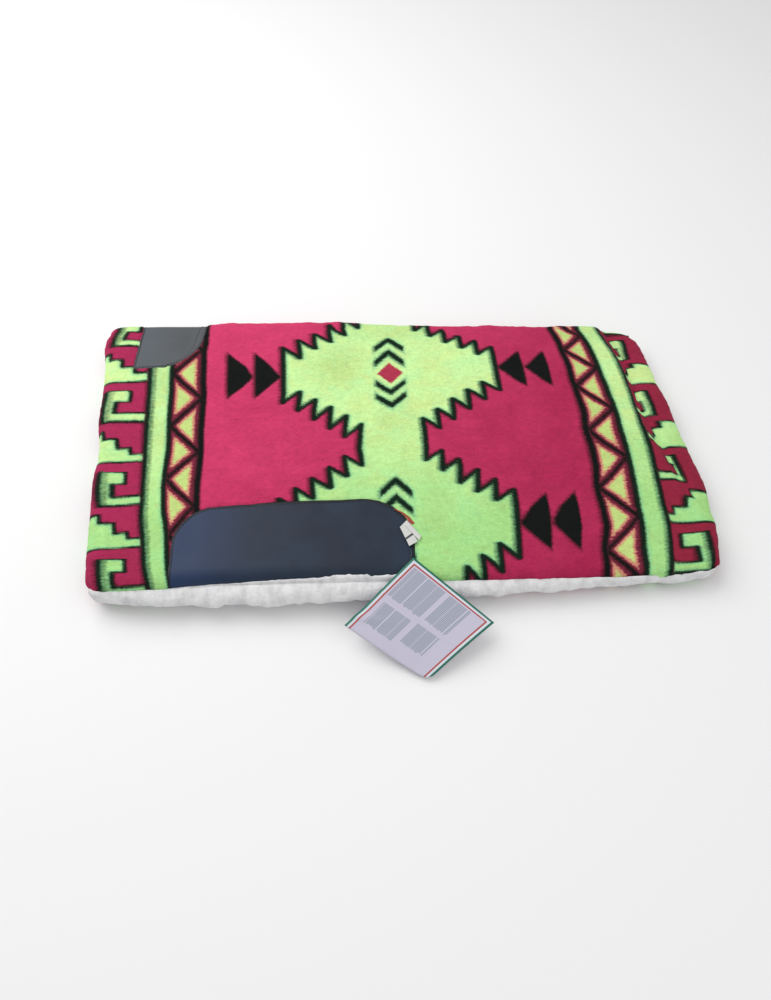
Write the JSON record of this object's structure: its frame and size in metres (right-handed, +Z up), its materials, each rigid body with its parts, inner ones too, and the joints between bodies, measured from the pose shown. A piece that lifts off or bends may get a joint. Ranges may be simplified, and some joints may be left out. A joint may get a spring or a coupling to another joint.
{
  "type": "western saddle pad",
  "caption": "Western saddle pad folded along its spine: patterned plush cover, felt core, fleece lining, dark wear leathers and a paper hang tag.",
  "frame": {"origin": "centre of the folded pad's footprint, on the surface that it lies on", "axes": "+X toward the rear along the spine, +Y toward the folded spine edge, +Z up"},
  "size_m": [0.8061, 0.513, 0.0506],
  "materials": {
    "plush_cover": "matte",
    "felt_core": "matte",
    "fleece_lining": "matte",
    "wear_leather": "satin",
    "sewing_thread": "matte",
    "tag_thread": "matte",
    "label_satin": "satin",
    "ribbon": "satin",
    "leaflet_paper": "satin"
  },
  "bodies": {
    "off_side": {"cover_off": "plush_cover", "core_off": "felt_core", "fleece_off": "fleece_lining", "side_leather_off": "wear_leather", "side_stitching_off": "sewing_thread", "wither_leather_off": "wear_leather", "wither_stitching_off": "sewing_thread", "hem_seam_off": "sewing_thread"},
    "spine": {"cover_spine": "plush_cover", "core_spine": "felt_core", "wither_leather_spine": "wear_leather", "cover_bend_off": "plush_cover", "cover_bend_near": "plush_cover", "wither_leather_bend_off": "wear_leather", "wither_leather_bend_near": "wear_leather"},
    "near_side": {"cover_near": "plush_cover", "core_near": "felt_core", "fleece_near": "fleece_lining", "side_leather_near": "wear_leather", "side_stitching_near": "sewing_thread", "wither_leather_near": "wear_leather", "wither_stitching_near": "sewing_thread", "hem_seam_near": "sewing_thread", "ribbon_tab": "ribbon"},
    "label": {"care_label": "label_satin"},
    "tag": {"tag_thread": "tag_thread", "leaflet_back_leaf": "leaflet_paper"},
    "tag_cover": {"leaflet_front_leaf": "leaflet_paper"}
  },
  "joints": [
    {"name": "fold_lower", "type": "hinge", "parent": "off_side", "child": "spine", "pos_m": [0, 0.1984, 0.0118], "axis": [-1, 0, 0], "range_deg": [0, 90], "deforming": ["cover_bend_off", "wither_leather_bend_off"]},
    {"name": "fold_upper", "type": "hinge", "parent": "spine", "child": "near_side", "pos_m": [0, 0.1984, 0.0354], "axis": [-1, 0, 0], "range_deg": [0, 90], "deforming": ["cover_bend_near", "wither_leather_bend_near"]},
    {"name": "label_flip", "type": "hinge", "parent": "near_side", "child": "label", "pos_m": [0.01625, -0.1314, 0.04587], "axis": [-0.5701, 0.8216, 0], "range_deg": [0, 100]},
    {"name": "tag_lift", "type": "hinge", "parent": "near_side", "child": "tag", "pos_m": [0.009, -0.158, 0.0446], "axis": [-1, 0, 0], "range_deg": [0, 110]},
    {"name": "leaflet_open", "type": "hinge", "parent": "tag", "child": "tag_cover", "pos_m": [-0.02275, -0.2752, 0.0185], "axis": [0.8348, -0.4964, -0.2383], "range_deg": [0, 110]}
  ],
  "couplings": [
    {"joint": "fold_upper", "follows": "fold_lower", "ratio": 1}
  ]
}
